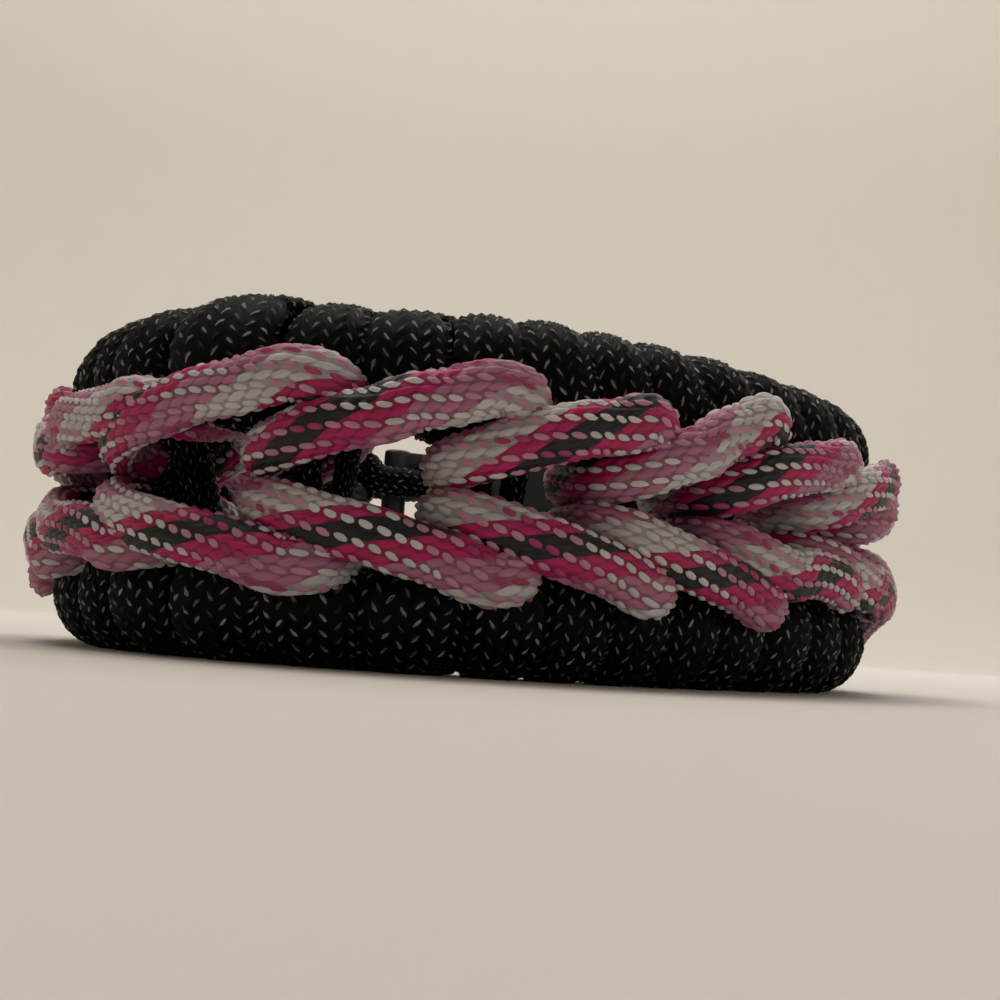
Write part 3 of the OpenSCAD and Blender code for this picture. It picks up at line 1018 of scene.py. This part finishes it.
@dataclass
class CoreLoops:
    """A closed loop of black cord in each roll, which opens out round both cord bars of the buckle."""

    weave: Weave
    lay: BraidLay
    # a bar's place along the buckle, and the loop's distance from it and height there
    bar_u: float = 18.1
    round_n: float = 2.95
    core_z: float = 6.55
    # half sizes of the cord in the rolls and round the bars
    run_half: tuple[float, float] = (1.85, 1.0)
    eye_half: tuple[float, float] = (1.6, 1.35)
    # half of the gap between a loop's two runs, where the wraps begin to hide it, and its ring spacing there
    half_gap: float = 0.03
    hidden_from: float = 1.5
    hidden_step: float = 2.0
    # length along from the bar, distance outward and share of the opening, round half of a loop's end
    eye: tuple[tuple[float, float, float], ...] = (
        (-1.3, 0.36, 0.05), (-0.8, 0.8, 0.8), (-0.3, 0.97, 1), (0.3, 0.97, 1), (0.8, 0.6, 1), (1, 0, 1),
    )
    # points along each run
    steps: int = 36

    def eye_rows(self, way: int, s0: float, flip: int) -> list[list[float]]:
        """Half of a loop's end round a bar: rows of length, distance outward and share of the opening."""
        return [[s0 + way * (self.bar_u - a * self.round_n), flip * b * self.round_n, c] for a, b, c in self.eye]

    def rows(self, side: Side) -> np.ndarray:
        """The whole closed run, started in the middle of its outer half.

        Args:
            side: the roll that it lies in.

        Returns:
            Rows of centre, upright axis and half sizes, the last the same as the first.
        """
        w = self.weave
        run_n = self.run_half[1] + self.half_gap
        ends = (w.first_s, w.first_s + w.spans * w.pitch)
        near, far = w.line.buckle_s - w.line.length, w.line.buckle_s
        outer = [[s, run_n, 0] for s in np.linspace(*ends, self.steps + 1)]
        inner = [[s, -run_n, 0] for s in np.linspace(*reversed(ends), self.steps + 1)]
        half = self.steps // 2
        pts = (outer[half:] + self.eye_rows(-1, far, 1) + self.eye_rows(-1, far, -1)[-2::-1] + inner
               + self.eye_rows(1, near, -1) + self.eye_rows(1, near, 1)[-2::-1] + outer[:half + 1])
        out = []
        for s, n, c in pts:
            z = w.roll_z + (self.core_z - w.roll_z) * c
            a, b = (r + (e - r) * c for r, e in zip(self.run_half, self.eye_half))
            out.append([s, n, side.value * z, 0, 0, 1, a, b])
        return np.array(out)

    def build(self, finishes: list[bpy.types.Material]) -> None:
        """Builds both loops, plain where the wraps hide them.

        Args:
            finishes: the sheath's material.
        """
        for side in Side:
            name = f"core_loop_{side.name.lower()}"
            route = CordRoute.through(self.weave.line, self.rows(side))
            fine_step = self.lay.stitch_mm / self.lay.rows
            s = route.values[:, 0]
            w = self.weave
            far = w.first_s + w.spans * w.pitch
            inside = (s > w.first_s + self.hidden_from) & (s < far - self.hidden_from)
            rings, x = [], 0.0
            while x < route.length - 0.4 * fine_step:
                rings.append(x)
                hidden = inside[min(int(np.searchsorted(route.length_at, x)), len(inside) - 1)]
                x += self.hidden_step if hidden else fine_step
            rings = np.array(rings)
            shown = np.interp(rings, route.length_at, (~inside).astype(float))
            shown = np.minimum(shown, np.minimum(np.roll(shown, 1), np.roll(shown, -1)))
            body = self.lay.sheath(route, shown, rings, True, 1.0)
            obj = cord_object(f"{name}_braid", body, finishes[:1], 0.0)
            log.info("%s is %.0f mm long", name, route.length)
            hand_in(obj, "black_cord", name)


@dataclass
class Buckle:
    """A curved side-release buckle, fastened, with moulded radii and plain grip ribs."""

    line: LoopLine
    # grid of the moulded skin, passes that round its edges, and width and height of a grip rib
    skin_mm: float = 0.28
    soften: int = 4
    rib_w: float = 0.55
    rib_h: float = 0.3
    # half of the buckle, middle along it, and the range outward and across of each grip rib
    face_u: tuple[float, ...] = (9.6, 10.9, 12.2)
    face_n: float = 3.3
    face_z: float = 6.5
    catch_u: tuple[float, ...] = (4.6, 5.55, 6.5)
    catch_n: float = 1.3
    catch_z: float = 9.4

    def ribs(self, name: str) -> list[tuple[float, tuple[float, float], tuple[float, float]]]:
        """Places the ribs of one half.

        Args:
            name: the half's node.

        Returns:
            Middle along the buckle, range outward and range across of each rib.
        """
        h = self.rib_h
        way = 1 if name == "buckle_socket" else -1
        out = [(way * u, (self.face_n - 2 * h, self.face_n + h), (-self.face_z, self.face_z)) for u in self.face_u]
        if way < 0:
            for side in Side:
                z0, z1 = sorted((side.value * (self.catch_z - h), side.value * (self.catch_z + h)))
                out += [(u, (-self.catch_n, self.catch_n), (z0, z1)) for u in self.catch_u]
        return out

    def half(self, name: str, finish: bpy.types.Material) -> None:
        """Moulds one half of the buckle round its solid.

        Args:
            name: the half's node.
            finish: the plastic's material.
        """
        bm = bmesh.new()
        bm.from_mesh(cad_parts[name].data)
        for u, (n0, n1), (z0, z1) in self.ribs(name):
            a, b = self.line.buckle_s + u - self.rib_w / 2, self.line.buckle_s + u + self.rib_w / 2
            corners = np.array([[s, n, z] for s in (a, b) for n in (n0, n1) for z in (z0, z1)])
            v = [bm.verts.new(p * MM) for p in self.line.place(corners)]
            for f in ((0, 1, 3, 2), (4, 6, 7, 5), (0, 4, 5, 1), (2, 3, 7, 6), (0, 2, 6, 4), (1, 5, 7, 3)):
                bm.faces.new([v[i] for i in f])
        bmesh.ops.recalc_face_normals(bm, faces=bm.faces)
        rough = bpy.data.meshes.new(f"{name}_rough")
        bm.to_mesh(rough)
        bm.free()
        obj = stand(f"{name}_moulded", rough)
        skin = obj.modifiers.new("skin", "REMESH")
        skin.mode = "VOXEL"
        skin.voxel_size = self.skin_mm * MM
        skin.use_smooth_shade = True
        radii = obj.modifiers.new("radii", "SMOOTH")
        radii.factor = 0.5
        radii.iterations = self.soften
        shaped = bpy.data.meshes.new_from_object(obj.evaluated_get(bpy.context.evaluated_depsgraph_get()))
        obj.modifiers.clear()
        obj.data = shaped
        shaped.name = obj.name
        bpy.data.meshes.remove(rough)
        shaped.materials.clear()
        shaped.materials.append(finish)
        hand_in(obj, "buckle_plastic", name)

    def build(self, finish: bpy.types.Material) -> None:
        """Builds both halves of the plastic."""
        for name in ("buckle_socket", "buckle_plug"):
            self.half(name, finish)


@dataclass
class Studio:
    """A pale seamless sweep, soft lights and the camera at the photograph's angle."""

    # the camera's place from the loop's centre, its angles in radians, and its focal length in the image's pixels
    cam_mm: tuple[float, float, float] = (0.2045, -130.7, 3.0)
    yaw: float = 0.0231
    pitch: float = 0.0951
    roll: float = 0.0682
    focal_px: float = 1407.3
    image_px: float = 1000.0
    sensor_mm: float = 36.0
    home: tuple[float, float, float] = LoopLine.home
    # colour of the sweep, and in metres its flat radius, the radius of its curve and the height of its wall
    sweep_hex: str = "#d9d6d0"
    flat_r: float = 0.55
    curve_r: float = 0.35
    wall_h: float = 1.6
    floor_mm: float = -0.15
    # what the soft lights face, and the name, place and width in metres, watts and colour of each
    centre: tuple[float, float, float] = (0.0, 0.0, 0.013)
    lamps: tuple[tuple[str, tuple[float, float, float], float, float, str], ...] = (
        ("key_soft_box", (-0.18, 0.02, 0.46), 0.2, 0.45, "#fffaf3"),
        ("rim_soft_box", (0.25, 0.35, 0.4), 0.3, 0.55, "#f8f9ff"),
        ("side_fill", (0.46, -0.27, 0.14), 0.3, 0.16, "#fff8f2"),
    )
    # bearing in degrees and watts of the lights that wash the backdrop
    washes: tuple[tuple[float, float], ...] = ((90, 4.9), (0, 0.8), (180, 0.6))

    def camera(self) -> None:
        """Sets the camera from its yaw, pitch and roll."""
        cy, sy = math.cos(self.yaw), math.sin(self.yaw)
        cp, sp = math.cos(self.pitch), math.sin(self.pitch)
        ahead = Vector((sy * cp, cy * cp, sp))
        right = Vector((cy, -sy, 0))
        up = right.cross(ahead)
        cr, sr = math.cos(self.roll), math.sin(self.roll)
        right, up = cr * right + sr * up, cr * up - sr * right
        data = bpy.data.cameras.new("camera")
        data.sensor_width = self.sensor_mm
        data.lens = self.sensor_mm * self.focal_px / self.image_px
        data.clip_start = 0.005
        cam = stand("camera", data)
        turn = Matrix((right, up, -ahead)).transposed().to_4x4()
        place = Vector((self.cam_mm[0] + self.home[0], self.cam_mm[1] + self.home[1], self.cam_mm[2])) * MM
        cam.matrix_world = Matrix.Translation(place) @ turn
        bpy.context.scene.camera = cam

    def sweep(self) -> None:
        """Builds the round floor, which curves up into the backdrop on all sides."""
        bm = bmesh.new()
        profile = [
            (self.flat_r + self.curve_r * math.sin(a), self.curve_r * (1 - math.cos(a)))
            for a in np.linspace(0, math.pi / 2, 25)
        ]
        profile.append((self.flat_r + self.curve_r, self.wall_h))
        turn = np.linspace(0, 2 * math.pi, 129)[:-1]
        low = self.floor_mm * MM
        rows = [[bm.verts.new((r * math.cos(a), r * math.sin(a), z + low)) for a in turn] for r, z in profile]
        bm.faces.new(rows[0])
        for a, b in zip(rows, rows[1:]):
            for i in range(len(turn)):
                j = (i + 1) % len(turn)
                bm.faces.new((a[i], b[i], b[j], a[j])).smooth = True
        mesh = bpy.data.meshes.new("studio_sweep")
        bm.to_mesh(mesh)
        bm.free()
        # matt background paper: its tooth is too fine to see, so it gives the eye only a faint unevenness
        mat, t = bare_material("paper_sweep_matt")
        at = node(t, "TexCoord", out="Object")
        tooth = node(t, "TexNoise", {"Vector": at, "Scale": 60.0, "Detail": 4.0})
        base = linear(self.sweep_hex)
        pale = tuple(c * 1.03 for c in base[:3]) + (1.0,)
        col = node(t, "Mix", {0: tooth, 6: base, 7: pale}, out=2, data_type="RGBA")
        shader = node(t, "BsdfPrincipled", {"Base Color": col, "Roughness": 0.85})
        node(t, "OutputMaterial", {0: shader}, out=None)
        mesh.materials.append(mat)
        stand("studio_sweep", mesh)

    def light(
        self, name: str, at: tuple[float, float, float], to: tuple[float, float, float],
        size: float, watts: float, code: str,
    ) -> None:
        """Adds one soft light.

        Args:
            name: the light's name.
            at: its place in metres.
            to: the point that it faces.
            size: its width in metres.
            watts: its power.
            code: its colour.
        """
        data = bpy.data.lights.new(name, "AREA")
        data.size = size
        data.energy = watts
        data.color = linear(code)[:3]
        obj = stand(name, data)
        obj.location = at
        obj.rotation_euler = (Vector(to) - Vector(at)).to_track_quat("-Z", "Y").to_euler()

    def build(self) -> None:
        """Sets the whole studio."""
        self.camera()
        self.sweep()
        for name, at, size, watts, code in self.lamps:
            self.light(name, at, self.centre, size, watts, code)
        for bearing, watts in self.washes:
            a = math.radians(bearing)
            start, end = ((r * math.cos(a), r * math.sin(a), z) for r, z in ((0.3, 0.9), (0.85, 0.25)))
            self.light(f"backdrop_wash_{bearing}", start, end, 0.6, watts, "#fff8ee")
        world = bpy.data.worlds.new("studio_air")
        world.use_nodes = True
        back = world.node_tree.nodes["Background"]
        back.inputs[0].default_value = linear("#d8d4cc")
        back.inputs[1].default_value = 0.05
        bpy.context.scene.world = world
        bpy.context.scene.view_settings.view_transform = "Standard"


# the stitch of the black cord, drawn down tighter than that of the variegated one
TIGHT = Puff(0.48, 0.29, 0.8, 0.78, 0.85)

# The black cord's braid, and each link strand's. The variegated cord turns slowly as it goes along,
# so its dark bands come round a little later in each link.
BLACK_LAY = BraidLay(
    0.86, relief_mm=0.24, square=0.92, columns=2, rows=3, ribs=18, flat_lead=False,
    lead_puff=TIGHT, cross_puff=TIGHT,
)
LINK_LAYS = {
    Side.UPPER: BraidLay(1.12, twist=-0.22 / YARNS, phase=0.146),
    Side.LOWER: BraidLay(1.12, twist=-0.13 / YARNS, phase=0.466),
}

# Variegated nylon: the eye gets slanting dashes of black, hot pink, pale grey and dusty pink along
# flat stitches, crossed by rows of small raised beads in paler dyes.
VARIEGATED = BraidedNylon(
    "nylon_braid_variegated",
    lead=[(0, "#0b0a0d"), (3, "#b8065e"), (5, "#cac3c4"), (9, "#b56f8e"), (13, "#b8065e")],
    cross=[(0, "#cfc9c8"), (5, "#bf839a"), (9, "#a83063"), (11, "#bf839a"), (14, "#cfc9c8")],
    # gap_shade puts painted shade in the grooves between stitches
    gap_shade=0.5, uneven=0.15,
)

# Black nylon: nearly all the light goes. Short grey glints in rows of V, where the filaments bend over the crest
# of a stitch, are painted highlights, and the grooves between stitches carry painted shade.
BLACK = BraidedNylon(
    "nylon_braid_black",
    lead=[(0, "#08080a"), (9, "#0b0b0d")],
    cross=[(0, "#0a0a0c"), (7, "#070709")],
    roughness=0.6, sheen=0.0, gap_shade=0.3, uneven=0.4, flat_lead=False, gloss=0.07, painted_glint=1.0,
    painted_spark=Puff(0.3, 0.09, 1.0, 0.78, 0.85), lead_puff=TIGHT, cross_puff=TIGHT,
)

# Ends melted with a flame: hard lumps with small bright highlights, darker where the melt is thick.
BLACK_END = MeltedNylon("nylon_melted_black", "#1f1d1c")
PINK_END = MeltedNylon("nylon_melted_pink", "#8a4350")

# The buckle's plastic: a broad soft highlight, a fine grain close up, and paler edges where it rubs.
PLASTIC = MouldedAcetal()


def main() -> None:
    """Builds the sub-assemblies in order and reports them."""
    logging.basicConfig(level=logging.INFO, format="%(name)s: %(message)s")
    Studio().build()
    weave = Weave(LoopLine())
    sheath = BLACK.build()
    EdgeWraps(weave, BLACK_LAY).build([sheath, BLACK_END.build()])
    LinkStrands(weave, LINK_LAYS).build([VARIEGATED.build(), PINK_END.build()])
    CoreLoops(weave, replace(BLACK_LAY, square=1.0, ribs=14)).build([sheath])
    Buckle(weave.line).build(PLASTIC.build())


if __name__ == "__main__":
    main()
